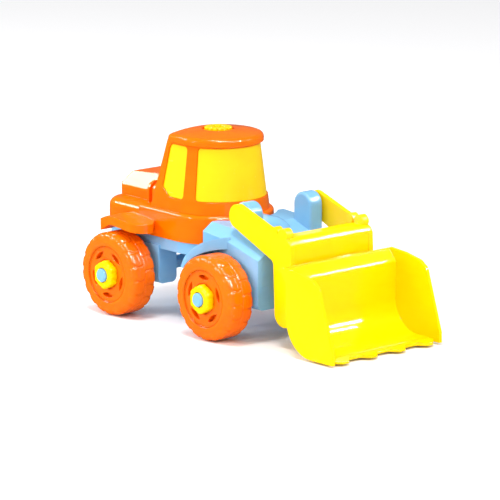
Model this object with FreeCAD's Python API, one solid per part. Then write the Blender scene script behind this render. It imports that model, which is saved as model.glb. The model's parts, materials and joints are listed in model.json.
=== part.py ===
import FreeCAD, Part
import math
import os

# Toy wheel loader in moulded plastic that a child takes apart and screws together again.
# Millimetres. +X is forward, towards the bucket, +Y is the loader's left side, +Z is up.
# The model is laid out from the point on the ground midway between the axles, and at the end
# it is moved along X, so that the origin lies on the ground under the middle of its length.

Vector = FreeCAD.Vector

# ---- overall places ----
REAR_END_X = -76.0
BUCKET_TIP_X = 142.0
HALF_WHEELBASE = 43.5
STEER_X = -5.0            # king pin, roof screw and the centre of the round cab
SIDES = {"right": -1, "left": 1}

# ---- fits ----
RUNNING_GAP = 0.05        # radial gap of a shaft that turns in its hole
STILL_GAP = 0.02          # radial gap of a shaft that is screwed or pressed home
SCREW_PASS_R = 3.3        # hole that the long screw passes freely
WALL = 2.0                # moulded wall

# ---- wheels, axles and nuts ----
WHEEL_R = 25.0
WHEEL_INNER_Y = 36.0
WHEEL_OUTER_Y = 54.3
TREAD_SHOULDER = 2.0
TYRE_INNER_R = 21.0
RIM_FACE_Y = 53.6
RIM_STEP_R = 16.5
RIM_DISC = 4.2            # thickness of the wheel's outer disc
HUB_R = 8.0
SLOT_COUNT = 5
SLOT_OUTER_R = 14.1
SLOT_HEIGHT = 2.9
SLOT_DEPTH = 3.0
SLOT_CHORD = 9.6
AXLE_R = 4.0
AXLE_END_Y = 59.4
NUT_FACE_Y = 58.0
NUT_SEAT_Y = 52.8
NUT_LOBES = 6
NUT_R = 7.9
NUT_LOBE_R = 2.5
NUT_LOBE_CIRCLE = 6.1
NUT_EDGE = 1.8
NUT_RECESS_R = 9.2
NUT_COUNTERBORE_R = 4.5

# ---- rear chassis ----
CHASSIS_BOTTOM = 19.0
TRAY_BOTTOM = 41.2
BODY_BOTTOM = 48.2
TRAY_R = 32.3
TRAY_REAR_X = -75.2
TRAY_REAR_HALF = 30.4
LEG_REAR_X = -60.0
LEG_FRONT_X = -21.0
LEG_OUT_Y = 33.0
LEG_IN_Y = 19.0
LEG_BOTTOM = 19.6
LEG_CORNER = 3.5
AXLE_BOSS_R = 6.0
AXLE_BOSS_END_Y = 35.6
POST_R = 6.5
POST_BOTTOM = 40.9
SCREW_R = 3.0
PIN_BORE_TOP = 48.5
SCREW_BORE_BOTTOM = 50.0

# ---- rear body: round deck, hood and mudguards in one moulding ----
DECK_R = 33.0
DECK_TOP = 65.0
DECK_REAR_HALF = 31.0
DECK_CORNER = 12.0
DECK_EDGE_FRONT = 2.2
DECK_EDGE_REAR = 5.5
DECK_EDGE_TURN_X = -40.0
HOOD_HALF = 19.6
HOOD_BEVEL_Z = 70.8      # foot of the broad bevel round the hood
HOOD_BEVEL_IN = 6.3
HOOD_FRONT_X = -20.0
HOOD_TOP_REAR = 79.4
HOOD_TOP_FRONT = 82.0
FENDER_OUT_Y = 50.0
FENDER_REAR_X = -57.5
FENDER_FRONT_X = -19.5
LOUVRE_XS = (-36.0, -41.0)
LOUVRE_HALF = 24.2
LOUVRE_TOP = 77.5

# ---- cab ----
CAB_BASE_R = 30.5
CAB_BASE_REAR_X = -33.6
CAB_TOP = 106.0
CAB_TOP_R = 25.4
CAB_TOP_REAR_X = -23.8
CAB_CORNER = 4.0
CAB_WALL = 1.8
ROOF_BOTTOM = 104.8
ROOF_TOP = 112.3
ROOF_DOME_R = 130.0
ROOF_R = 27.0
ROOF_REAR_HALF = 25.3
ROOF_REAR_X = -23.6
ROOF_EDGE = 2.6
PANE_GAP = 0.1
PANE_WALL = 1.3
PANE_DEPTH = 0.7          # how far the panes lie behind the outer wall
WINDOW_TOP = 104.0
WINDOW_BOTTOM = 72.8
WINDSCREEN_HALF_ANGLE = 69.0
SCREW_HEAD_R = 8.3
SCREW_HEAD_BOTTOM = 110.2
SCREW_HEAD_TOP = 113.0
ROOF_RECESS_R = 9.6

# ---- front frame ----
FRAME_HALF = 35.0
FRAME_REAR_X = 21.5
FRAME_KNEE_X = 41.0
FRAME_FRONT_X = 69.5
FRAME_SEAM_Z = 33.0
CROWN_HALF = 28.0
CROWN_Z = (63.6, 62.2, 52.3)
SHOULDER_Z = (59.0, 56.6, 48.5)
HUMP_R = 14.0
HUMP_AXIS_Z = 52.0
DECK_CLEARANCE_R = 35.5
TONGUE_BOTTOM = 33.6
TONGUE_TOP = 40.6
TONGUE_END_R = 8.6
TONGUE_HALF = 11.0
LOBE_IN_Y = 18.0
LOBE_OUT_Y = 28.3
LOBE_R = 7.5
LOBE_EDGE = 1.8
ARCH_INNER_R = 26.4
ARCH_CENTER_X = 46.4
ARCH_CENTER_Z = 29.4
ARCH_OUTER_R = 29.2
ARCH_END_Z = 39.0

# ---- loader arms and bucket ----
BOOM_X = 48.5
BOOM_Z = 71.5
BUCKET_X = 89.0
BUCKET_Z = 20.4
ARM_IN_Y = 29.0
ARM_OUT_Y = 32.25
ARM_END_R = 6.8
ARM_FOOT_R = 8.0
STUD_R = 4.0
BOOM_STUD_END_Y = 20.0
BUCKET_STUD_END_Y = 24.2
PANEL_FRONT_X = 94.0
PANEL_TOP = 64.9
PANEL_BOTTOM = 46.0
PANEL_REAR_X = 81.5
PANEL_WALL = 2.6
ELBOWS = ((79.6, 67.0, 3.0), (87.2, 66.4, 3.7))   # x, z and radius of the elbow's bumps
BUCKET_HALF = 43.0
BUCKET_BACK_X = 102.6
BUCKET_FLOOR = 1.3
BUCKET_BEND_R = 21.0
BUCKET_WALL = 2.1
LIP_ROOT_X = 137.0
TOOTH_COUNT = 4
TOOTH_PITCH = 22.0
TOOTH_TIP = 4.7
TOOTH_ROOT = 13.0
EAR_IN_Y = 24.5
EAR_OUT_Y = 28.6
EAR_R = 6.5

# ---- small screws ----
SMALL_HEAD_R = 2.8
SMALL_HEAD = 1.6
SMALL_SHANK_R = 1.5
BODY_SCREWS = ((10.0, 20.0), (10.0, -20.0), (-67.0, 18.0), (-67.0, -18.0))
FRAME_SCREWS = ((29.0, 24.0), (29.0, -24.0), (61.0, 24.0), (61.0, -24.0))
BOSS_R = 3.4


# ---- building blocks ----

def placed(plane, level, u, v):
    """A point of a flat drawing: 'xy' at height level, 'xz' at y = level, 'yz' at x = level."""
    if plane == "xy":
        return Vector(u, v, level)
    if plane == "xz":
        return Vector(u, level, v)
    return Vector(level, u, v)


def corner_span(before, corner, after):
    """Start, middle and end of the arc that rounds one corner (u, v, radius)."""
    here = Vector(corner[0], corner[1], 0)
    if corner[2] == 0:
        return here, None, here
    back = Vector(before[0], before[1], 0).sub(here).normalize()
    ahead = Vector(after[0], after[1], 0).sub(here).normalize()
    half = back.getAngle(ahead) / 2
    reach = corner[2] / math.tan(half)
    middle = back.add(ahead).normalize().multiply(corner[2] / math.sin(half) - corner[2])
    start = here.add(Vector(back).multiply(reach))
    end = here.add(Vector(ahead).multiply(reach))
    return start, here.add(middle), end


def outline(plane, level, corners):
    """Closed wire through corners (u, v, radius), each one rounded by its own radius."""
    count = len(corners)
    spans = []
    for index, corner in enumerate(corners):
        spans.append(corner_span(corners[index - 1], corner, corners[(index + 1) % count]))
    edges = []
    for index, (start, middle, end) in enumerate(spans):
        points = [placed(plane, level, p.x, p.y) for p in (start, middle, end) if p is not None]
        if middle is not None:
            edges.append(Part.Arc(points[0], points[1], points[2]).toShape())
        following = spans[(index + 1) % count][0]
        target = placed(plane, level, following.x, following.y)
        if points[-1].distanceToPoint(target) > 0.001:
            edges.append(Part.LineSegment(points[-1], target).toShape())
    return Part.Wire(edges)


def prism(plane, low, high, corners):
    """Solid between two levels of one drawing plane, with the given outline."""
    face = Part.Face(outline(plane, low, corners))
    return face.extrude(placed(plane, high - low, 0, 0))


def block(x_low, x_high, y_low, y_high, z_low, z_high):
    """Box between its lowest and highest coordinates."""
    corner = Vector(x_low, y_low, z_low)
    return Part.makeBox(x_high - x_low, y_high - y_low, z_high - z_low, corner)


def rod(radius, start, end):
    """Cylinder from one point to another."""
    along = end.sub(start)
    return Part.makeCylinder(radius, along.Length, start, along)


def upright(radius, x, y, z_low, z_high):
    """Vertical cylinder."""
    return rod(radius, Vector(x, y, z_low), Vector(x, y, z_high))


def crosswise(radius, x, z, y_start, y_end):
    """Cylinder that lies across the loader."""
    return rod(radius, Vector(x, y_start, z), Vector(x, y_end, z))


def join(shapes):
    """One solid from shapes that overlap."""
    return shapes[0].multiFuse(shapes[1:]).removeSplitter()


def cut(shape, tools):
    """The shape without the tools."""
    return shape.cut(tools)


def rounded(shape, radius, chosen):
    """The shape with a fillet on each edge that the test chooses."""
    edges = [edge for edge in shape.Edges if chosen(edge)]
    return shape.makeFillet(radius, edges)


def at_height(z):
    """Test for edges that lie flat at one height."""
    return lambda edge: abs(edge.BoundBox.ZMin - z) < 0.01 and abs(edge.BoundBox.ZMax - z) < 0.01


def mirrored(shape):
    """The same shape on the loader's other side."""
    return shape.mirror(Vector(0, 0, 0), Vector(0, 1, 0))


def d_outline(z, radius, rear_x, rear_half, corner):
    """Plan of the deck, tray or cab: round in front about the king pin, square behind."""
    half = rear_half
    rear = outline("xy", z, [(STEER_X, radius, 0), (rear_x, half, corner),
                             (rear_x, -half, corner), (STEER_X, -radius, 0)])
    edges = [edge for edge in rear.Edges if edge.BoundBox.XMax < STEER_X - 0.01
             or edge.BoundBox.XLength > 1.0]
    front = Part.Arc(Vector(STEER_X, -radius, z), Vector(STEER_X + radius, 0, z),
                     Vector(STEER_X, radius, z))
    return Part.Wire(Part.__sortEdges__(edges + [front.toShape()]))


def d_prism(z_low, z_high, radius, rear_x, rear_half, corner):
    """Solid of the D-shaped plan between two heights."""
    face = Part.Face(d_outline(z_low, radius, rear_x, rear_half, corner))
    return face.extrude(Vector(0, 0, z_high - z_low))


# ---- wheels, axles and nuts ----

def wheel_ring(r_low, r_high, y_low, y_high):
    """Ring about the wheel's own axis, which is the Y axis."""
    outer = crosswise(r_high, 0, 0, y_low, y_high)
    return outer.cut(crosswise(r_low, 0, 0, y_low - 1, y_high + 1))


def lens_slot():
    """Lens-shaped pocket at the top of the rim, sunk into the wheel's disc."""
    sagitta = SLOT_HEIGHT / 2
    radius = (SLOT_CHORD ** 2 / 4 + sagitta ** 2) / (2 * sagitta)
    middle = SLOT_OUTER_R - sagitta
    y_low = RIM_FACE_Y - SLOT_DEPTH
    upper = crosswise(radius, 0, middle + sagitta - radius, y_low, RIM_FACE_Y + 1)
    lower = crosswise(radius, 0, middle - sagitta + radius, y_low, RIM_FACE_Y + 1)
    return upper.common(lower)


def wheel_form():
    """Left wheel about the origin: a hollow tyre, an outer disc with pockets, and a hub tube."""
    tyre = Part.makeCylinder(WHEEL_R, WHEEL_OUTER_Y - WHEEL_INNER_Y,
                             Vector(0, WHEEL_INNER_Y, 0), Vector(0, 1, 0))
    tyre = tyre.makeFillet(TREAD_SHOULDER, [e for e in tyre.Edges if e.BoundBox.YLength < 0.01])
    hollow = wheel_ring(HUB_R, TYRE_INNER_R, WHEEL_INNER_Y - 1, RIM_FACE_Y - RIM_DISC)
    dish = crosswise(RIM_STEP_R, 0, 0, RIM_FACE_Y, WHEEL_OUTER_Y + 1)
    recess = crosswise(NUT_RECESS_R, 0, 0, NUT_SEAT_Y - 0.3, WHEEL_OUTER_Y + 1)
    bore = crosswise(AXLE_R + RUNNING_GAP, 0, 0, WHEEL_INNER_Y - 1, WHEEL_OUTER_Y + 1)
    slots = []
    for index in range(SLOT_COUNT):
        slot = lens_slot()
        slot.rotate(Vector(0, 0, 0), Vector(0, 1, 0), 360.0 * index / SLOT_COUNT)
        slots.append(slot)
    return cut(tyre, [hollow, dish, recess, bore] + slots)


def wheel(x, side, slot_turn):
    """Wheel on one axle and side; slot_turn sets where its first slot stands."""
    form = wheel_form()
    form.rotate(Vector(0, 0, 0), Vector(0, 1, 0), slot_turn)
    if side < 0:
        form = mirrored(form)
    form.translate(Vector(x, 0, WHEEL_R))
    return form


def axle(x):
    """Round axle with a chamfer at both ends."""
    shaft = crosswise(AXLE_R, x, WHEEL_R, -AXLE_END_Y, AXLE_END_Y)
    ends = [edge for edge in shaft.Edges if edge.BoundBox.YLength < 0.01]
    return shaft.makeChamfer(0.6, ends)


def nut(x, side):
    """Wheel nut with round lobes for a child's fingers or a big spanner."""
    pieces = [crosswise(NUT_R, 0, 0, NUT_SEAT_Y, NUT_FACE_Y)]
    for index in range(NUT_LOBES):
        angle = math.radians(360.0 * index / NUT_LOBES + 30.0)
        lobe_x = NUT_LOBE_CIRCLE * math.cos(angle)
        lobe_z = NUT_LOBE_CIRCLE * math.sin(angle)
        pieces.append(crosswise(NUT_LOBE_R, lobe_x, lobe_z, NUT_SEAT_Y, NUT_FACE_Y))
    body = join(pieces)
    bore = crosswise(AXLE_R + STILL_GAP, 0, 0, NUT_SEAT_Y - 1, NUT_FACE_Y + 1)
    mouth = crosswise(NUT_COUNTERBORE_R, 0, 0, NUT_FACE_Y - 2.0, NUT_FACE_Y + 1)
    body = rounded(body, NUT_EDGE, lambda e: e.BoundBox.YMin > NUT_FACE_Y - 0.01)
    body = cut(body, [bore, mouth])
    if side < 0:
        body = mirrored(body)
    body.translate(Vector(x, 0, WHEEL_R))
    return body


# ---- rear chassis ----

def chassis_leg(side, inset, z_top):
    """Hanging box that carries one end of the rear axle, inset on every side."""
    outer = side * (LEG_OUT_Y - inset)
    inner = side * (LEG_IN_Y + inset)
    bottom = LEG_BOTTOM + inset
    corner = LEG_CORNER - inset
    return prism("yz", LEG_REAR_X + inset, LEG_FRONT_X - inset, [
        (outer, z_top, 0), (outer, bottom, corner), (inner, bottom, corner), (inner, z_top, 0)])


def rear_chassis():
    """Tray under the body, two legs for the axle and the post that takes the long screws."""
    tray = d_prism(TRAY_BOTTOM, BODY_BOTTOM, TRAY_R, TRAY_REAR_X, TRAY_REAR_HALF, DECK_CORNER)
    tray_hollow = d_prism(TRAY_BOTTOM + WALL, BODY_BOTTOM + 1, TRAY_R - WALL,
                          TRAY_REAR_X + WALL, TRAY_REAR_HALF - WALL, DECK_CORNER - WALL)
    legs = [chassis_leg(side, 0, TRAY_BOTTOM + WALL) for side in SIDES.values()]
    leg_hollows = [chassis_leg(side, WALL, TRAY_BOTTOM + WALL + 1) for side in SIDES.values()]
    shell = cut(join([tray] + legs), [tray_hollow] + leg_hollows)
    pieces = [shell, upright(POST_R, STEER_X, 0, POST_BOTTOM, DECK_TOP - WALL)]
    for side in SIDES.values():
        pieces.append(crosswise(AXLE_BOSS_R, -HALF_WHEELBASE, WHEEL_R,
                                side * (LEG_OUT_Y - WALL), side * AXLE_BOSS_END_Y))
    holes = [upright(SCREW_R + STILL_GAP, STEER_X, 0, POST_BOTTOM - 1, PIN_BORE_TOP),
             upright(SCREW_R + STILL_GAP, STEER_X, 0, SCREW_BORE_BOTTOM, DECK_TOP),
             crosswise(AXLE_R + STILL_GAP, -HALF_WHEELBASE, WHEEL_R, -40, 40)]
    for x, y in BODY_SCREWS:
        holes.append(upright(SMALL_SHANK_R + 0.1, x, y, TRAY_BOTTOM - 1, TRAY_BOTTOM + WALL + 1))
    return cut(join(pieces), holes)


# ---- rear body ----

def hood_form(inset):
    """Engine hood: its side view, its rear view and its plan, laid through each other."""
    rear_x = -73.8 + inset
    top_rear = HOOD_TOP_REAR - inset
    top_front = HOOD_TOP_FRONT - inset
    half = HOOD_HALF - inset
    low = DECK_TOP - WALL - 1
    bevel = HOOD_BEVEL_Z - inset / 2
    inner = half - HOOD_BEVEL_IN
    side_view = prism("xz", -half, half, [
        (rear_x - 0.4, low, 0), (rear_x + 0.8, bevel, 3), (rear_x + 7.2, top_rear, 2.5),
        (HOOD_FRONT_X, top_front, 0), (HOOD_FRONT_X, low, 0)])
    rear_view = prism("yz", rear_x - 1, HOOD_FRONT_X, [
        (-half, low, 0), (-half, bevel, 2), (-inner, top_front, 2),
        (inner, top_front, 2), (half, bevel, 2), (half, low, 0)])
    plan = prism("xy", low, top_front, [
        (rear_x - 1, -half, 6), (HOOD_FRONT_X, -half, 0), (HOOD_FRONT_X, half, 0),
        (rear_x - 1, half, 6)])
    return side_view.common(rear_view).common(plan)


def louvre(x):
    """Upright fin with round shoulders that stands out from both sides of the hood."""
    return prism("yz", x - 1.0, x + 1.0, [
        (-LOUVRE_HALF, DECK_TOP - 1, 0), (-LOUVRE_HALF, LOUVRE_TOP, 6),
        (LOUVRE_HALF, LOUVRE_TOP, 6), (LOUVRE_HALF, DECK_TOP - 1, 0)])


def fender(side):
    """Wavy mudguard over one rear wheel, seen from the side and cut to its plan."""
    front = FENDER_FRONT_X
    wave = [(FENDER_REAR_X, 48.8, 1.8), (-54.0, 49.8, 1.5), (-46.0, 54.4, 9), (-31.0, 52.8, 12),
            (front, 51.6, 0), (front, 56.8, 0), (-23.5, 57.2, 14), (-46.5, 59.9, 12),
            (FENDER_REAR_X, 55.6, 2.6)]
    strip = prism("xz", -FENDER_OUT_Y, FENDER_OUT_Y, wave)
    plan = prism("xy", 45.0, 65.0, [
        (FENDER_REAR_X, side * 30.0, 0), (FENDER_REAR_X, side * FENDER_OUT_Y, 5),
        (front - 0.1, side * FENDER_OUT_Y, 9), (front - 0.6, side * 38.0, 4),
        (front - 8.0, side * 30.0, 0)])
    return strip.common(plan)


def deck_form():
    """Deck with a broad round edge behind that narrows towards the round front."""
    form = d_prism(BODY_BOTTOM, DECK_TOP, DECK_R, REAR_END_X, DECK_REAR_HALF, DECK_CORNER)
    turn = DECK_EDGE_TURN_X
    rear = form.common(block(REAR_END_X, turn, -40, 40, BODY_BOTTOM, DECK_TOP))
    front = form.common(block(turn, 40, -40, 40, BODY_BOTTOM, DECK_TOP))
    is_top = at_height(DECK_TOP)
    rear = rounded(rear, DECK_EDGE_REAR, lambda e: is_top(e) and e.BoundBox.XMin < turn - 0.01)
    front = rounded(front, DECK_EDGE_FRONT, lambda e: is_top(e) and e.BoundBox.XMax > turn + 0.01)
    return join([rear, front])


def rear_body():
    """Orange shell: deck, hood, mudguards, and bosses for the screws from below."""
    deck_hollow = d_prism(BODY_BOTTOM - 1, DECK_TOP - WALL, DECK_R - WALL, REAR_END_X + WALL,
                          DECK_REAR_HALF - WALL, DECK_CORNER - WALL)
    additions = [fender(side) for side in SIDES.values()]
    additions += [louvre(x) for x in LOUVRE_XS]
    shell = join([deck_form(), hood_form(0)] + additions)
    shell = cut(shell, [deck_hollow, hood_form(WALL)])
    bosses = []
    holes = [upright(SCREW_PASS_R, STEER_X, 0, DECK_TOP - WALL - 1, DECK_TOP + 20)]
    for x, y in BODY_SCREWS:
        bosses.append(upright(BOSS_R, x, y, TRAY_BOTTOM + WALL, DECK_TOP - WALL + 0.5))
        holes.append(upright(SMALL_SHANK_R + STILL_GAP, x, y, TRAY_BOTTOM, 56.0))
    return cut(join([shell] + bosses), holes)


# ---- cab ----

def cab_section(z, inset):
    """D-shaped plan of the cab at a height, between its base and its narrower top."""
    share = (z - DECK_TOP) / (CAB_TOP - DECK_TOP)
    radius = CAB_BASE_R + share * (CAB_TOP_R - CAB_BASE_R) - inset
    rear_x = CAB_BASE_REAR_X + share * (CAB_TOP_REAR_X - CAB_BASE_REAR_X) + inset
    return d_outline(z, radius, rear_x, radius, CAB_CORNER - inset)


def cab_form(z_low, z_high, inset):
    """Leaning cab walls as a solid, inset on every side."""
    return Part.makeLoft([cab_section(z_low, inset), cab_section(z_high, inset)], True, True)


def side_window(gap):
    """Form of both side windows, smaller by a gap all round."""
    bottom = WINDOW_BOTTOM + gap
    top = WINDOW_TOP - gap
    return prism("xz", -40, 40, [
        (-15.4 + gap, bottom, 1.5), (-22.2 + gap, bottom + 5.2, 2), (-18.6 + gap, top, 2.5),
        (-3.0 - gap, top, 2.5), (-3.0 - gap, bottom, 2.5)])


def windscreen(gap):
    """Form of the window that wraps round the front of the cab, smaller by a gap."""
    reach = 45.0
    angle = math.radians(WINDSCREEN_HALF_ANGLE)
    x = STEER_X + reach * math.cos(angle)
    y = reach * math.sin(angle)
    tip = STEER_X + gap / math.cos(angle)
    sector = prism("xy", WINDOW_BOTTOM + gap, WINDOW_TOP - gap, [
        (tip, 0, 0), (x, -y, 0), (60.0, -y, 0), (60.0, y, 0), (x, y, 0)])
    return rounded(sector, 2.0, lambda e: e.BoundBox.ZLength < 0.01 and e.BoundBox.YLength > 10
                   and e.BoundBox.XMin < tip + 0.01)


def rear_window(gap):
    """Form of the window above the hood, smaller by a gap all round."""
    half = 14.0 - gap
    bottom = 85.0 + gap
    top = WINDOW_TOP - 1.5 - gap
    return prism("yz", -40, -15, [(-half, bottom, 2.5), (half, bottom, 2.5),
                                  (half, top, 2.5), (-half, top, 2.5)])


def window_forms(gap):
    """All window forms."""
    return [side_window(gap), windscreen(gap), rear_window(gap)]


def cab_shell():
    """Cab with its roof, open below and at the windows."""
    walls = cab_form(DECK_TOP, CAB_TOP, 0)
    roof = d_prism(ROOF_BOTTOM, ROOF_TOP, ROOF_R, ROOF_REAR_X, ROOF_REAR_HALF, CAB_CORNER + 1)
    dome = Part.makeSphere(ROOF_DOME_R, Vector(STEER_X, 0, ROOF_TOP - ROOF_DOME_R))
    roof = roof.common(dome)
    roof = rounded(roof, ROOF_EDGE, lambda e: e.BoundBox.ZMin > ROOF_BOTTOM + 0.5)
    roof = rounded(roof, 0.6, at_height(ROOF_BOTTOM))
    hollow = cab_form(DECK_TOP, ROOF_BOTTOM + 0.4, CAB_WALL)
    tools = window_forms(0) + [
             hollow, hood_form(-0.15),
             upright(ROOF_RECESS_R, STEER_X, 0, SCREW_HEAD_BOTTOM, ROOF_TOP + 1),
             upright(SCREW_PASS_R, STEER_X, 0, DECK_TOP, ROOF_TOP)]
    return cut(join([walls, roof]), tools)


def cab_windows():
    """Yellow inner cab with raised panes that fill every window opening."""
    inset = CAB_WALL + PANE_GAP
    outer = cab_form(DECK_TOP, ROOF_BOTTOM + 0.2, inset)
    inner = cab_form(DECK_TOP, ROOF_BOTTOM + 0.2 - PANE_WALL, inset + PANE_WALL)
    tools = [inner, hood_form(-0.15), upright(SCREW_PASS_R, STEER_X, 0, DECK_TOP, ROOF_TOP)]
    skin = cut(cab_form(DECK_TOP, CAB_TOP, PANE_DEPTH), [cab_form(DECK_TOP, CAB_TOP, inset + 0.5)])
    panes = [skin.common(form) for form in window_forms(PANE_GAP)]
    return cut(join([outer] + panes), tools)


def roof_screw():
    """Long screw from the roof to the chassis post, with a knurled head and a cross slot."""
    head = upright(SCREW_HEAD_R, STEER_X, 0, SCREW_HEAD_BOTTOM, SCREW_HEAD_TOP)
    head = rounded(head, 0.8, at_height(SCREW_HEAD_TOP))
    shank = upright(SCREW_R, STEER_X, 0, SCREW_BORE_BOTTOM + 0.5, SCREW_HEAD_BOTTOM + 1)
    tools = []
    for index in range(16):
        angle = 2 * math.pi * index / 16
        tools.append(upright(0.75, STEER_X + SCREW_HEAD_R * math.cos(angle),
                             SCREW_HEAD_R * math.sin(angle), SCREW_HEAD_BOTTOM, SCREW_HEAD_TOP + 1))
    low = SCREW_HEAD_TOP - 1.6
    tools.append(block(STEER_X - 5.2, STEER_X + 5.2, -1.2, 1.2, low, SCREW_HEAD_TOP + 1))
    tools.append(block(STEER_X - 1.2, STEER_X + 1.2, -5.2, 5.2, low, SCREW_HEAD_TOP + 1))
    return cut(join([head, shank]), tools)


# ---- steering pivot ----

def king_pin():
    """Screw from below: the front frame's tongue turns on its smooth shank."""
    head = upright(6.4, STEER_X, 0, 28.4, 32.0)
    head = rounded(head, 0.8, at_height(28.4))
    shank = upright(SCREW_R, STEER_X, 0, 31.5, PIN_BORE_TOP - 0.5)
    slots = [block(STEER_X - 4.2, STEER_X + 4.2, -1.0, 1.0, 28.0, 29.8),
             block(STEER_X - 1.0, STEER_X + 1.0, -4.2, 4.2, 28.0, 29.8)]
    return cut(join([head, shank]), slots)


def king_washer():
    """Washer between the pin's head and the tongue."""
    ring = upright(8.0, STEER_X, 0, 32.0, 33.2)
    return ring.cut(upright(SCREW_R + STILL_GAP, STEER_X, 0, 31, 34))


# ---- front frame ----

def frame_section(x, shoulder, top, inset):
    """Cross-section of the front frame: upright sides, slanted shoulders, flat crown."""
    half = FRAME_HALF - inset
    crown = CROWN_HALF - inset / 2
    return Part.makePolygon([placed("yz", x, u, v) for u, v in (
        (-half, FRAME_SEAM_Z - inset), (-half, shoulder - inset), (-crown, top - inset),
        (crown, top - inset), (half, shoulder - inset), (half, FRAME_SEAM_Z - inset),
        (-half, FRAME_SEAM_Z - inset))])


def frame_form(inset):
    """Front frame's outer form, or its hollow when inset."""
    stations = (FRAME_REAR_X + inset, FRAME_KNEE_X, FRAME_FRONT_X - inset)
    wires = []
    for x, shoulder, top in zip(stations, SHOULDER_Z, CROWN_Z):
        wires.append(frame_section(x, shoulder, top, inset))
    return Part.makeLoft(wires, True, True)


def crown_hump(inset):
    """Round back with a round nose that swells out of the crown between the two lobes."""
    radius = HUMP_R - inset
    nose = Vector(FRAME_KNEE_X, 0, HUMP_AXIS_Z)
    barrel = rod(radius, Vector(FRAME_REAR_X + inset, 0, HUMP_AXIS_Z), nose)
    return join([barrel, Part.makeSphere(radius, nose)])


def lobe(side):
    """Round-topped upright that carries one arm's stud."""
    low, high = sorted((side * LOBE_IN_Y, side * LOBE_OUT_Y))
    form = prism("xz", low, high, [
        (BOOM_X - LOBE_R, 50.0, 0), (BOOM_X - LOBE_R, BOOM_Z + LOBE_R, LOBE_R - 0.01),
        (BOOM_X + LOBE_R, BOOM_Z + LOBE_R, LOBE_R - 0.01), (BOOM_X + LOBE_R, 50.0, 0)])
    return rounded(form, LOBE_EDGE, lambda e: e.BoundBox.YLength < 0.01 and e.BoundBox.ZMin > 49.9
                   and e.BoundBox.ZMax > 51)


def mudguard(side):
    """Curved guard over the rear upper part of one front wheel."""
    outer = crosswise(ARCH_OUTER_R, ARCH_CENTER_X, ARCH_CENTER_Z, side * 33.5, side * 50.0)
    wheel_space = crosswise(ARCH_INNER_R, HALF_WHEELBASE, WHEEL_R, side * 35.0, side * 52.0)
    keep = prism("xy", ARCH_END_Z, 60.0, [
        (15.0, side * 33.0, 0), (15.0, side * 50.0, 0), (23.0, side * 50.0, 6),
        (33.0, side * 45.0, 8), (44.0, side * 34.0, 2), (44.0, side * 33.0, 0)])
    return outer.cut(wheel_space).common(keep)


def tongue():
    """Plate that reaches back under the deck to the king pin."""
    plate = prism("xy", TONGUE_BOTTOM, TONGUE_TOP, [
        (STEER_X, -TONGUE_END_R, 0), (34.0, -TONGUE_HALF, 0), (34.0, TONGUE_HALF, 0),
        (STEER_X, TONGUE_END_R, 0)])
    return join([plate, upright(TONGUE_END_R, STEER_X, 0, TONGUE_BOTTOM, TONGUE_TOP)])


def front_frame():
    """Upper half of the front frame, with lobes, mudguards and the steering tongue."""
    deck_space = upright(DECK_CLEARANCE_R, STEER_X, 0, TONGUE_TOP, 90.0)
    outer = cut(join([frame_form(0), crown_hump(0)]), [deck_space])
    rear_wall = upright(DECK_CLEARANCE_R + WALL, STEER_X, 0, 20.0, 90.0)
    hollow = cut(join([frame_form(WALL), crown_hump(WALL)]), [rear_wall])
    shell = cut(outer, [hollow])
    pieces = [tongue()]
    for x, y in FRAME_SCREWS:
        top = CROWN_Z[1] if x < FRAME_KNEE_X else CROWN_Z[2] + 2.0
        pieces.append(upright(BOSS_R, x, y, FRAME_SEAM_Z, top - 1.0))
    for side in SIDES.values():
        pieces.append(lobe(side))
        pieces.append(mudguard(side))
    body = join([shell] + pieces)
    holes = [upright(SCREW_R + RUNNING_GAP, STEER_X, 0, 30.0, 45.0)]
    for x, y in FRAME_SCREWS:
        holes.append(upright(SMALL_SHANK_R + STILL_GAP, x, y, FRAME_SEAM_Z - 1, 44.0))
    for side in SIDES.values():
        holes.append(crosswise(STUD_R + RUNNING_GAP, BOOM_X, BOOM_Z,
                               side * (BOOM_STUD_END_Y - 0.3), side * (LOBE_OUT_Y + 1)))
    return cut(body, holes)


def base_box(inset, z_top):
    """Lower half of the front frame as a solid with round lower edges."""
    half = FRAME_HALF - inset
    bottom = CHASSIS_BOTTOM + inset
    corner = 4.0 - inset
    return prism("yz", FRAME_REAR_X + inset, FRAME_FRONT_X - inset, [
        (-half, z_top, 0), (-half, bottom, corner), (half, bottom, corner), (half, z_top, 0)])


def front_base():
    """Open box under the seam that holds the front axle."""
    shell = cut(base_box(0, FRAME_SEAM_Z), [base_box(WALL, FRAME_SEAM_Z + 1)])
    pieces = [shell]
    for side in SIDES.values():
        pieces.append(crosswise(AXLE_BOSS_R, HALF_WHEELBASE, WHEEL_R,
                                side * (FRAME_HALF - 8), side * AXLE_BOSS_END_Y))
    holes = [crosswise(AXLE_R + STILL_GAP, HALF_WHEELBASE, WHEEL_R, -40, 40)]
    for x, y in FRAME_SCREWS:
        pieces.append(upright(BOSS_R + 0.6, x, y, CHASSIS_BOTTOM, FRAME_SEAM_Z))
        holes.append(upright(SMALL_SHANK_R + 0.1, x, y, CHASSIS_BOTTOM - 1, FRAME_SEAM_Z + 1))
        holes.append(upright(SMALL_HEAD_R + 0.2, x, y, CHASSIS_BOTTOM - 1, CHASSIS_BOTTOM + 4))
    return cut(join(pieces), holes)


# ---- loader arms ----

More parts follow.
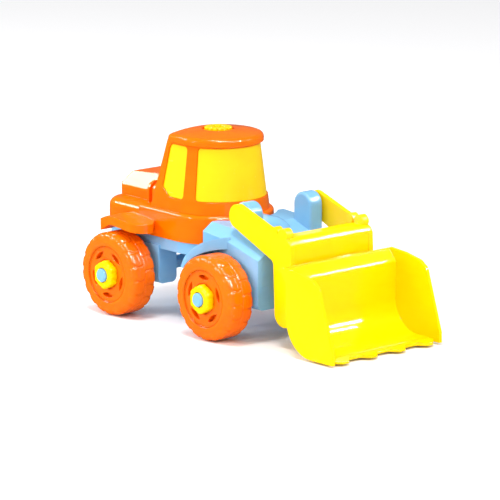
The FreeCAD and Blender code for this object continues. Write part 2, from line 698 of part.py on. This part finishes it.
def arm_plate(side):
    """One arm: a sloping upper limb and an upright lower limb in one flat plate."""
    low, high = sorted((side * ARM_IN_Y, side * ARM_OUT_Y))
    end = ARM_END_R
    foot = ARM_FOOT_R
    return prism("xz", low, high, [
        (BOOM_X - 4.2, BOOM_Z + 8.8, end), (PANEL_FRONT_X, 62.9, 4.5),
        (BUCKET_X + foot, BUCKET_Z - foot, foot - 0.4),
        (BUCKET_X - foot, BUCKET_Z - foot, foot - 0.4),
        (79.6, 49.9, 4), (BOOM_X - 8.8, BOOM_Z - 4.2, end)])


def loader_arms():
    """Both arms, the panel that joins them, and the studs on their inner faces."""
    wall = PANEL_WALL
    panel = prism("xz", -ARM_IN_Y - 1, ARM_IN_Y + 1, [
        (PANEL_REAR_X, PANEL_TOP - wall, 0), (PANEL_REAR_X, PANEL_TOP, 0.8),
        (PANEL_FRONT_X, PANEL_TOP, 5), (PANEL_FRONT_X, PANEL_BOTTOM, 0.8),
        (PANEL_FRONT_X - wall, PANEL_BOTTOM, 0.8),
        (PANEL_FRONT_X - wall, PANEL_TOP - wall, 5 - wall)])
    pieces = [panel]
    for side in SIDES.values():
        pieces.append(arm_plate(side))
        for x, z, radius in ELBOWS:
            pieces.append(crosswise(radius, x, z, side * (ARM_IN_Y - 2), side * ARM_OUT_Y))
        pieces.append(crosswise(STUD_R, BOOM_X, BOOM_Z, side * BOOM_STUD_END_Y,
                                side * (ARM_IN_Y + 1)))
        pieces.append(crosswise(STUD_R, BUCKET_X, BUCKET_Z, side * BUCKET_STUD_END_Y,
                                side * (ARM_IN_Y + 1)))
    return join(pieces)


# ---- bucket ----

def bucket_side_form(inset):
    """Side view of the bucket, closed in front; inset leaves the hollow inside it."""
    back = BUCKET_BACK_X + inset
    floor = BUCKET_FLOOR + inset
    return [(95.9 + inset * 1.5, 49.4 + inset * 0.2, 0), (back, 42.9 + inset * 0.4, 3),
            (back, floor, BUCKET_BEND_R - inset), (141.3, floor, 0), (141.3, 7.4, 1.5),
            (129.6, 43.6, 4), (124.4, 47.3, 5), (112.0, 49.9, 8), (99.0, 51.0, 0)]


def teeth():
    """Teeth of the cutting edge in plan, cut to a thin wedge."""
    corners = [(LIP_ROOT_X - 8, -BUCKET_HALF, 0), (LIP_ROOT_X, -BUCKET_HALF, 0)]
    first = -TOOTH_PITCH * (TOOTH_COUNT - 1) / 2
    for index in range(TOOTH_COUNT):
        middle = first + TOOTH_PITCH * index
        corners += [(LIP_ROOT_X, middle - TOOTH_ROOT / 2, 0.8),
                    (BUCKET_TIP_X, middle - TOOTH_TIP / 2, 0.8),
                    (BUCKET_TIP_X, middle + TOOTH_TIP / 2, 0.8),
                    (LIP_ROOT_X, middle + TOOTH_ROOT / 2, 0.8)]
    corners += [(LIP_ROOT_X, BUCKET_HALF, 0), (LIP_ROOT_X - 8, BUCKET_HALF, 0)]
    plan = prism("xy", 0, 10, corners)
    wedge = prism("xz", -BUCKET_HALF, BUCKET_HALF, [
        (LIP_ROOT_X - 9, BUCKET_FLOOR, 0), (BUCKET_TIP_X + 1, BUCKET_FLOOR, 0),
        (BUCKET_TIP_X + 1, BUCKET_FLOOR + 1.3, 0), (LIP_ROOT_X - 9, BUCKET_FLOOR + BUCKET_WALL, 0)])
    return plan.common(wedge)


def bucket_ear(side):
    """Ear behind the bucket that turns on one arm's stud."""
    low, high = sorted((side * EAR_IN_Y, side * EAR_OUT_Y))
    return prism("xz", low, high, [
        (BUCKET_X - EAR_R, BUCKET_Z - EAR_R, EAR_R - 0.05), (104.0, BUCKET_Z - EAR_R - 2, 0),
        (104.0, BUCKET_Z + EAR_R + 6, 0), (BUCKET_X - EAR_R, BUCKET_Z + EAR_R, EAR_R - 0.05)])


def bucket():
    """Scoop with two side plates, a lip that leans back, teeth, and two ears."""
    outer = prism("xz", -BUCKET_HALF, BUCKET_HALF, bucket_side_form(0))
    inner_half = BUCKET_HALF - BUCKET_WALL
    hollow = prism("xz", -inner_half, inner_half, bucket_side_form(BUCKET_WALL)[:4] + [
        (150.0, BUCKET_FLOOR + BUCKET_WALL, 0), (150.0, 60.0, 0), (99.0, 60.0, 0)])
    lip_space = block(LIP_ROOT_X - 4, 150.0, -inner_half, inner_half, 0, 20)
    shell = cut(outer, [hollow, lip_space])
    pieces = [shell, teeth()] + [bucket_ear(side) for side in SIDES.values()]
    body = join(pieces)
    holes = [crosswise(STUD_R + RUNNING_GAP, BUCKET_X, BUCKET_Z, -40, 40)]
    return cut(body, holes)


# ---- small screws ----

def small_screws(places, head_z, tip_z):
    """A group of identical screws whose heads are below."""
    screws = []
    for x, y in places:
        head = upright(SMALL_HEAD_R, x, y, head_z, head_z + SMALL_HEAD)
        shank = upright(SMALL_SHANK_R, x, y, head_z + SMALL_HEAD - 0.1, tip_z)
        slot = block(x - 1.7, x + 1.7, y - 0.3, y + 0.3, head_z - 1, head_z + 0.8)
        screws.append(cut(join([head, shank]), [slot]))
    return Part.makeCompound(screws)


# ---- the whole loader ----

def build():
    """Every piece under its own name."""
    pieces = {
        "rear_chassis": rear_chassis(),
        "rear_body": rear_body(),
        "cab_shell": cab_shell(),
        "cab_windows": cab_windows(),
        "roof_screw": roof_screw(),
        "body_screws": small_screws(BODY_SCREWS, TRAY_BOTTOM - SMALL_HEAD, 55.0),
        "king_pin": king_pin(),
        "king_washer": king_washer(),
        "front_frame": front_frame(),
        "front_base": front_base(),
        "frame_screws": small_screws(FRAME_SCREWS, CHASSIS_BOTTOM + 4 - SMALL_HEAD, 43.0),
        "loader_arms": loader_arms(),
        "bucket": bucket(),
        "rear_axle": axle(-HALF_WHEELBASE),
        "front_axle": axle(HALF_WHEELBASE),
    }
    for place, x, slot_turn in (("rear", -HALF_WHEELBASE, 36.0), ("front", HALF_WHEELBASE, 0.0)):
        for name, side in SIDES.items():
            pieces[place + "_wheel_" + name] = wheel(x, side, slot_turn)
            pieces[place + "_nut_" + name] = nut(x, side)
    return pieces


def main():
    """Move every piece to the final origin and write its file."""
    os.makedirs("parts", exist_ok=True)
    to_origin = Vector(-(REAR_END_X + BUCKET_TIP_X) / 2, 0, 0)
    for name, shape in build().items():
        shape.translate(to_origin)
        shape.exportStep(os.path.join("parts", name + ".step"))


main()
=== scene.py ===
import json
import math

import bmesh
import bpy
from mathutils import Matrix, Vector


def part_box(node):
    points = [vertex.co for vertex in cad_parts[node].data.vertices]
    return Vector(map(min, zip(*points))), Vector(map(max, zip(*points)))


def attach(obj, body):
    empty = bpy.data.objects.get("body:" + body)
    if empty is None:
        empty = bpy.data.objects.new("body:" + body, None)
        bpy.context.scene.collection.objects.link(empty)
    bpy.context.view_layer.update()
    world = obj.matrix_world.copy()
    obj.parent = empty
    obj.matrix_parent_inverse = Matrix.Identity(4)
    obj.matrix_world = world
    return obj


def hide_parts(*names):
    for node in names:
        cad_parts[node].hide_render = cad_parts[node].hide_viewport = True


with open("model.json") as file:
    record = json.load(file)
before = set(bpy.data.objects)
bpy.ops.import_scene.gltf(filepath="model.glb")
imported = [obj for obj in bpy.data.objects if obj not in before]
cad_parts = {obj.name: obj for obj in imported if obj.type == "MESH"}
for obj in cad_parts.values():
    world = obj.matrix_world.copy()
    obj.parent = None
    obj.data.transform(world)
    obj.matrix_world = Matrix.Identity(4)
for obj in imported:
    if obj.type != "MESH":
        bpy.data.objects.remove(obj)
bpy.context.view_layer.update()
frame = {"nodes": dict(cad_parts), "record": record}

MM = 0.001
PLASTIC_IOR = 1.42
EDGE_SOFTNESS = 0.55 * MM     # radius of the soft edges that moulding leaves
SKIN_DEPTH = 0.12 * MM
SKIN_STRENGTH = 0.12
GLOW_DEPTH = 3.0 * MM         # how far light spreads inside the plastic
FLOOR_HALF = 6.0
FLOOR_DROP = 0.2 * MM         # keeps the floor clear of the wheels
FLOOR_COLOUR = (0.93, 0.93, 0.94)


# ---- node trees: one method for nodes, one small class for arithmetic on their values ----

class Value:
    """A socket's value; arithmetic on it adds Math nodes to its tree."""

    def __init__(self, nodes, socket):
        self.nodes = nodes
        self.socket = socket

    def math(self, operation, *others):
        sockets = {index + 1: other for index, other in enumerate(others)}
        sockets[0] = self
        return self.nodes.add("ShaderNodeMath", {"operation": operation}, sockets).value()

    def __add__(self, other):
        return self.math("ADD", other)

    __radd__ = __add__

    def __mul__(self, other):
        return self.math("MULTIPLY", other)

    __rmul__ = __mul__

    def __sub__(self, other):
        return self.math("SUBTRACT", other)

    def __rsub__(self, other):
        return (self * -1.0) + other

    def __truediv__(self, other):
        return self.math("DIVIDE", other)

    def __gt__(self, other):
        return self.math("GREATER_THAN", other)

    def smooth(self, low, high):
        """0 below low, 1 above high, and a smooth rise between them."""
        settings = {"interpolation_type": "SMOOTHSTEP"}
        return self.nodes.add("ShaderNodeMapRange", settings,
                              {"Value": self, "From Min": low, "From Max": high}).value()


class Added:
    """A node that was added, and its outputs as values."""

    def __init__(self, nodes, node):
        self.nodes = nodes
        self.node = node

    def value(self, name=0):
        return Value(self.nodes, self.node.outputs[name])


class Nodes:
    """A node tree that gets its nodes through one method."""

    def __init__(self, tree):
        self.tree = tree

    def add(self, kind, settings=None, sockets=None):
        """Adds a node, sets its settings, then fills its sockets with values or links."""
        node = self.tree.nodes.new(kind)
        for name, value in (settings or {}).items():
            setattr(node, name, value)
        for name, value in (sockets or {}).items():
            if isinstance(value, Value):
                self.tree.links.new(value.socket, node.inputs[name])
            else:
                node.inputs[name].default_value = value
        return Added(self, node)


# ---- finishes ----

def rgba(colour):
    return (*colour, 1.0)


def moulded_plastic(name, colour, shade, gloss, glow, grain, wave):
    """Glossy moulded plastic: cloudy colour, faint flow lines, fine skin, slow swell, hairline scuffs."""
    material = bpy.data.materials.new(name)
    material.use_nodes = True
    material.node_tree.nodes.clear()
    nodes = Nodes(material.node_tree)
    place = nodes.add("ShaderNodeTexCoord").value("Object")
    cloud = nodes.add("ShaderNodeTexNoise", None, {"Vector": place, "Scale": 38.0,
                                                  "Detail": 3.0, "Roughness": 0.55}).value()
    flow_place = nodes.add("ShaderNodeMapping", None,
                           {"Vector": place, "Scale": (30.0, 30.0, 190.0),
                            "Rotation": (0.3, 0.15, 0.0)}).value()
    flow = nodes.add("ShaderNodeTexNoise", None, {"Vector": flow_place, "Scale": 1.0,
                                                 "Detail": 2.0, "Distortion": 0.6}).value()
    skin = nodes.add("ShaderNodeTexNoise", None, {"Vector": place, "Scale": 900.0,
                                                 "Detail": 2.0}).value()
    scuff_place = nodes.add("ShaderNodeMapping", None,
                            {"Vector": place, "Scale": (60.0, 900.0, 420.0),
                             "Rotation": (0.5, 0.4, 0.7)}).value()
    scuff = nodes.add("ShaderNodeTexNoise", None, {"Vector": scuff_place, "Scale": 1.0,
                                                  "Detail": 2.0}).value()
    hairline = scuff.smooth(0.70, 0.76)
    swell = nodes.add("ShaderNodeTexNoise", None, {"Vector": place, "Scale": 75.0,
                                                  "Detail": 0.0}).value()
    depth = cloud.smooth(0.35, 0.75) * 0.55 + flow.smooth(0.45, 0.7) * 0.25
    tint = nodes.add("ShaderNodeMix", {"data_type": "RGBA"},
                     {0: depth, 6: rgba(colour), 7: rgba(shade)}).value(2)
    roughness = gloss + cloud * 0.05 + skin * 0.04 + hairline * 0.12
    height = skin * 0.35 * grain + flow * 0.5 + swell * wave - hairline * 0.5
    soft_edge = nodes.add("ShaderNodeBevel", {"samples": 4}, {"Radius": EDGE_SOFTNESS}).value()
    bump = nodes.add("ShaderNodeBump", None, {"Strength": SKIN_STRENGTH, "Distance": SKIN_DEPTH,
                                             "Height": height, "Normal": soft_edge}).value()
    shader = nodes.add("ShaderNodeBsdfPrincipled", None, {
        "Base Color": tint, "Roughness": roughness, "Normal": bump, "IOR": PLASTIC_IOR,
        "Subsurface Weight": glow, "Subsurface Radius": (1.0, 0.3, 0.12),
        "Subsurface Scale": GLOW_DEPTH})
    output = nodes.add("ShaderNodeOutputMaterial", None, {"Surface": shader.value()})
    output.node.is_active_output = True
    return material


def zinc_steel():
    """Zinc-plated steel of the small screws, with a fine spangle in its tint and roughness."""
    material = bpy.data.materials.new("zinc_steel")
    material.use_nodes = True
    material.node_tree.nodes.clear()
    nodes = Nodes(material.node_tree)
    place = nodes.add("ShaderNodeTexCoord").value("Object")
    spangle = nodes.add("ShaderNodeTexVoronoi", None, {"Vector": place, "Scale": 900.0}).value()
    tint = nodes.add("ShaderNodeMix", {"data_type": "RGBA"},
                     {0: spangle, 6: rgba((0.55, 0.56, 0.58)), 7: rgba((0.75, 0.75, 0.72))}).value(2)
    shader = nodes.add("ShaderNodeBsdfPrincipled", None, {
        "Base Color": tint, "Metallic": 1.0, "Roughness": spangle * 0.2 + 0.25})
    nodes.add("ShaderNodeOutputMaterial", None, {"Surface": shader.value()})
    return material


# Moulded plastic: colour, shade in its clouds, roughness, glow, skin and swell of the surface
MOULDED = {
    "orange_plastic": ((0.88, 0.155, 0.0), (0.84, 0.125, 0.0), 0.07, 0.12, 1.0, 0.0),
    "orange_wheel": ((0.88, 0.15, 0.0), (0.83, 0.12, 0.0), 0.16, 0.06, 1.5, 0.0),
    "yellow_window": ((0.95, 0.60, 0.0), (0.92, 0.55, 0.0), 0.2, 0.1, 1.0, 0.0),
    "yellow_plastic": ((0.97, 0.64, 0.0), (0.95, 0.58, 0.0), 0.08, 0.12, 1.0, 9.0),
    "blue_plastic": ((0.22, 0.47, 0.72), (0.17, 0.41, 0.67), 0.08, 0.08, 1.0, 0.0),
}
FINISHES = {name: moulded_plastic(name, *look) for name, look in MOULDED.items()}
FINISHES["zinc_steel"] = zinc_steel()


# ---- tyres with raised lugs ----

TYRE_HALF = 9.15          # half of the tyre's width
TYRE_MIDDLE_Y = 45.15
GROOVE_R = 23.95
LUG_RISE = 1.0
SHOULDER_R = 3.6
SHOULDER_START = 0.52     # shares of the strip from its middle to its edge
WALL_START = 0.80
RIM_R = 16.7
WALL_BULGE = 0.35
LUGS = 18
TREAD_STEPS = 360
TREAD_ROWS = 96
LUG_LEAN = 0.10           # sideways lean of a lug's edges, in lugs
LUG_SPLAY = 0.2           # how much the gap between lugs widens at the shoulder
LUG_REACH = 0.72          # share of the strip that the lugs cover
LUG_REACH_SWING = 0.05
RIB_PLACE = 0.27          # shallow rib line between the middle and the shoulder
LINE_SWING = 0.02         # waviness of the middle groove and the rib line
GROOVE_FILL = 0.4         # height left in the bottom of a groove
RIB_FILL = 0.65
SHRINK_FROM_R = 17.2      # the plain wheel is drawn in beyond this radius, under the tread
SHRINK = 0.62
FACE_DRAW = 0.25
MERGE_DISTANCE = 0.01 * MM


def lug_relief(nodes, across, turn):
    """Height of the lugs, 0 to 1: low wide blocks in staggered rows that end in a wavy shoulder."""
    row = across > 0.0
    lean = (across * 5.0).math("SINE") * LUG_LEAN
    pitch = turn * (LUGS / (2.0 * math.pi)) + row * 0.5 + lean
    slot = (pitch.math("FRACT") - 0.5).math("ABSOLUTE")
    widening = across.math("ABSOLUTE").smooth(0.42, 0.74) * LUG_SPLAY
    between = (slot + widening).smooth(0.485, 0.445)
    swing = (turn * LUGS).math("SINE")
    middle = (across - swing * LINE_SWING).math("ABSOLUTE").smooth(0.008, 0.03)
    off_rib = across.math("ABSOLUTE") - RIB_PLACE - swing * LINE_SWING
    rib = off_rib.math("ABSOLUTE").smooth(0.006, 0.022)
    reach = (pitch * (2.0 * math.pi)).math("COSINE") * -LUG_REACH_SWING + LUG_REACH
    outer = (across.math("ABSOLUTE") - reach).smooth(0.03, -0.03)
    grooves = between * middle * (rib * (1.0 - RIB_FILL) + RIB_FILL)
    return (grooves * (1.0 - GROOVE_FILL) + GROOVE_FILL) * outer


def tread_band(nodes):
    """Flat grid rolled round the wheel's axis: lugs, round shoulders and soft side walls."""
    grid = nodes.add("GeometryNodeMeshGrid", None, {
        "Size X": 2.0, "Size Y": 2.0 * math.pi, "Vertices X": TREAD_ROWS,
        "Vertices Y": TREAD_STEPS + 1}).value("Mesh")
    place = nodes.add("GeometryNodeInputPosition").value()
    split = nodes.add("ShaderNodeSeparateXYZ", None, {"Vector": place})
    across = split.value("X")
    turn = split.value("Y")
    reach = across.math("ABSOLUTE")
    bend = (reach.math("MINIMUM", WALL_START) - SHOULDER_START).math("MAXIMUM", 0.0)
    bend = bend * (math.pi / 2 / (WALL_START - SHOULDER_START))
    down = (reach - WALL_START).math("MAXIMUM", 0.0) * (1.0 / (1.0 - WALL_START))
    flat = reach.math("MINIMUM", SHOULDER_START) * ((TYRE_HALF - SHOULDER_R) / SHOULDER_START)
    bulge = (down * math.pi).math("SINE") * WALL_BULGE
    y = across.math("SIGN") * (flat + bend.math("SINE") * SHOULDER_R + bulge) + TYRE_MIDDLE_Y
    radius = (bend.math("COSINE") * SHOULDER_R + (GROOVE_R - SHOULDER_R)
              - down * (GROOVE_R - SHOULDER_R - RIM_R)
              + lug_relief(nodes, across, turn) * LUG_RISE)
    x = turn.math("SINE") * radius
    z = turn.math("COSINE") * radius
    rolled = nodes.add("ShaderNodeCombineXYZ", None, {"X": x * MM, "Y": y * MM, "Z": z * MM})
    moved = nodes.add("GeometryNodeSetPosition", None,
                      {"Geometry": grid, "Position": rolled.value()}).value()
    merged = nodes.add("GeometryNodeMergeByDistance", None,
                       {"Geometry": moved, "Distance": MERGE_DISTANCE}).value()
    return nodes.add("GeometryNodeSetShadeSmooth", None, {"Geometry": merged}).value()


def tyre_tree(material):
    """Node tree of a treaded wheel: the plain wheel drawn in a little, and the tread band on it."""
    tree = bpy.data.node_groups.new("treaded_wheel", "GeometryNodeTree")
    tree.interface.new_socket("Geometry", in_out="INPUT", socket_type="NodeSocketGeometry")
    tree.interface.new_socket("Axis", in_out="INPUT", socket_type="NodeSocketVector")
    tree.interface.new_socket("Side", in_out="INPUT", socket_type="NodeSocketFloat")
    tree.interface.new_socket("Geometry", in_out="OUTPUT", socket_type="NodeSocketGeometry")
    nodes = Nodes(tree)
    inputs = nodes.add("NodeGroupInput")
    axis = nodes.add("ShaderNodeSeparateXYZ", None, {"Vector": inputs.value("Axis")})
    place = nodes.add("ShaderNodeSeparateXYZ", None,
                      {"Vector": nodes.add("GeometryNodeInputPosition").value()})
    x = place.value("X") - axis.value("X")
    z = place.value("Z") - axis.value("Z")
    radius = (x * x + z * z).math("SQRT")
    excess = (radius - SHRINK_FROM_R * MM).math("MAXIMUM", 0.0)
    ratio = (radius - excess * (1.0 - SHRINK)) / radius.math("MAXIMUM", 1e-6)
    from_middle = place.value("Y") - inputs.value("Side") * (TYRE_MIDDLE_Y * MM)
    is_tyre = radius > SHRINK_FROM_R * MM
    y = place.value("Y") - from_middle.math("SIGN") * is_tyre * (FACE_DRAW * MM)
    drawn_in = nodes.add("ShaderNodeCombineXYZ", None, {
        "X": x * ratio + axis.value("X"), "Y": y, "Z": z * ratio + axis.value("Z")})
    core = nodes.add("GeometryNodeSetPosition", None, {
        "Geometry": inputs.value("Geometry"), "Position": drawn_in.value()}).value()
    turned = nodes.add("ShaderNodeCombineXYZ", None, {
        "X": (inputs.value("Side") - 1.0) * (math.pi / 2), "Y": 0.0, "Z": 0.0})
    band = nodes.add("GeometryNodeTransform", None, {
        "Geometry": tread_band(nodes), "Translation": inputs.value("Axis"),
        "Rotation": turned.value()}).value()
    joined = nodes.add("GeometryNodeJoinGeometry", None, {"Geometry": core})
    tree.links.new(band.socket, joined.node.inputs["Geometry"])
    real = nodes.add("GeometryNodeRealizeInstances", None, {"Geometry": joined.value()})
    dressed = nodes.add("GeometryNodeSetMaterial", None,
                        {"Geometry": real.value(), "Material": material})
    nodes.add("NodeGroupOutput", None, {"Geometry": dressed.value()})
    return tree


def grown(name, source, tree, inputs):
    """Plain mesh object that the node tree makes from a source mesh."""
    maker = bpy.data.objects.new(name + "_maker", source)
    bpy.context.scene.collection.objects.link(maker)
    modifier = maker.modifiers.new("tree", "NODES")
    modifier.node_group = tree
    for item in tree.interface.items_tree:
        if item.in_out == "INPUT" and item.name in inputs:
            modifier[item.identifier] = inputs[item.name]
    shaped = maker.evaluated_get(bpy.context.evaluated_depsgraph_get())
    mesh = bpy.data.meshes.new_from_object(shaped)
    bpy.data.objects.remove(maker)
    mesh.name = name
    piece = bpy.data.objects.new(name, mesh)
    bpy.context.scene.collection.objects.link(piece)
    return piece


def make_tyres():
    """A treaded wheel in place of each plain one."""
    tree = tyre_tree(FINISHES["orange_wheel"])
    for place in ("rear", "front"):
        for name, side in (("right", -1.0), ("left", 1.0)):
            node = place + "_wheel_" + name
            low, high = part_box(node)
            axis = ((low[0] + high[0]) / 2, 0.0, (low[2] + high[2]) / 2)
            plain = frame["nodes"][node].data.copy()
            piece = grown("treaded_" + node, plain, tree, {"Axis": axis, "Side": side})
            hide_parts(node)
            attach(piece, node)


# ---- floor, light and camera ----

LOOK_AT = Vector((-0.0097, 0.0, 0.0428))
AZIMUTH = math.radians(48.39)
ELEVATION = math.radians(12.27)
CAMERA_DISTANCE = 2.247
LENS = 274.74
WORLD_STRENGTH = 0.92
SHINE_STRENGTH = 0.12
# Lamp: name, azimuth, elevation, distance, width and height, power, seen only in the shine
LAMPS = (
    ("overhead", 20, 78, 1.2, (0.30, 0.30), 8, False),
    ("rear_left_window", -57, 29, 1.3, (0.42, 0.30), 8, False),
    ("front_window", 88, 34, 1.5, (0.14, 0.2), 6, False),
    ("over_camera", 62, 48, 1.3, (0.70, 0.20), 2, False),
    ("top_glint", 60, 50, 1.3, (0.45, 0.22), 34, True),
    ("right_glint", 112, 40, 1.3, (0.16, 0.30), 16, True),
    ("far_edge_glint", 145.5, 36, 1.3, (0.03, 0.10), 2.5, True),
    ("bucket_glint", 136, 26, 1.3, (0.035, 0.09), 3.5, True),
    ("low_left_window", -18, 22, 1.5, (0.12, 0.2), 5, False),
)


def toward(azimuth, elevation):
    """Unit vector from the loader towards a viewer or a lamp."""
    return Vector((math.sin(azimuth) * math.cos(elevation),
                   -math.cos(azimuth) * math.cos(elevation), math.sin(elevation)))


def make_camera():
    data = bpy.data.cameras.new("camera")
    data.lens = LENS
    data.sensor_width = 36.0
    data.clip_end = 20.0
    camera = bpy.data.objects.new("camera", data)
    bpy.context.scene.collection.objects.link(camera)
    back = toward(AZIMUTH, ELEVATION)
    camera.location = LOOK_AT + back * CAMERA_DISTANCE
    camera.rotation_mode = "QUATERNION"
    camera.rotation_quaternion = (-back).to_track_quat("-Z", "Y")
    bpy.context.scene.camera = camera


def softbox(name, azimuth, elevation, distance, size, power, shine_only):
    """Rectangular studio lamp aimed at the loader, or only its reflection in the plastic."""
    data = bpy.data.lights.new(name, "AREA")
    data.shape = "RECTANGLE"
    data.size, data.size_y = size
    data.energy = power
    lamp = bpy.data.objects.new(name, data)
    bpy.context.scene.collection.objects.link(lamp)
    direction = toward(math.radians(azimuth), math.radians(elevation))
    lamp.location = Vector((0, 0, 0.05)) + direction * distance
    lamp.rotation_mode = "QUATERNION"
    lamp.rotation_quaternion = (-direction).to_track_quat("-Z", "Y")
    lamp.visible_diffuse = not shine_only


def make_floor():
    mesh = bpy.data.meshes.new("floor")
    form = bmesh.new()
    bmesh.ops.create_grid(form, x_segments=1, y_segments=1, size=FLOOR_HALF)
    form.to_mesh(mesh)
    form.free()
    floor = bpy.data.objects.new("floor", mesh)
    bpy.context.scene.collection.objects.link(floor)
    floor.location.z = -FLOOR_DROP
    material = bpy.data.materials.new("floor")
    material.use_nodes = True
    shader = material.node_tree.nodes["Principled BSDF"]
    shader.inputs["Base Color"].default_value = rgba(FLOOR_COLOUR)
    shader.inputs["Roughness"].default_value = 0.5
    mesh.materials.append(material)
    floor.visible_glossy = False


def make_world():
    """White surroundings that look weaker in the plastic's shine than in its colour."""
    world = bpy.data.worlds.new("studio")
    world.use_nodes = True
    nodes = Nodes(world.node_tree)
    nodes.tree.nodes.clear()
    shine = nodes.add("ShaderNodeLightPath").value("Is Glossy Ray")
    strength = shine * (SHINE_STRENGTH - WORLD_STRENGTH) + WORLD_STRENGTH
    background = nodes.add("ShaderNodeBackground", None, {
        "Color": rgba((1.0, 1.0, 1.0)), "Strength": strength})
    nodes.add("ShaderNodeOutputWorld", None, {"Surface": background.value()})
    bpy.context.scene.world = world


def make_studio():
    make_world()
    make_floor()
    make_camera()
    bpy.context.scene.view_settings.view_transform = "Standard"
    for lamp in LAMPS:
        softbox(*lamp)


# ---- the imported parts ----

def finish_parts():
    """Gives each part of the frame the finish of its material slot."""
    for row in frame["record"]["subparts"]:
        part = frame["nodes"][row["node"]]
        part.data.materials.clear()
        part.data.materials.append(FINISHES[row["material_slot"]])


make_studio()
finish_parts()
make_tyres()
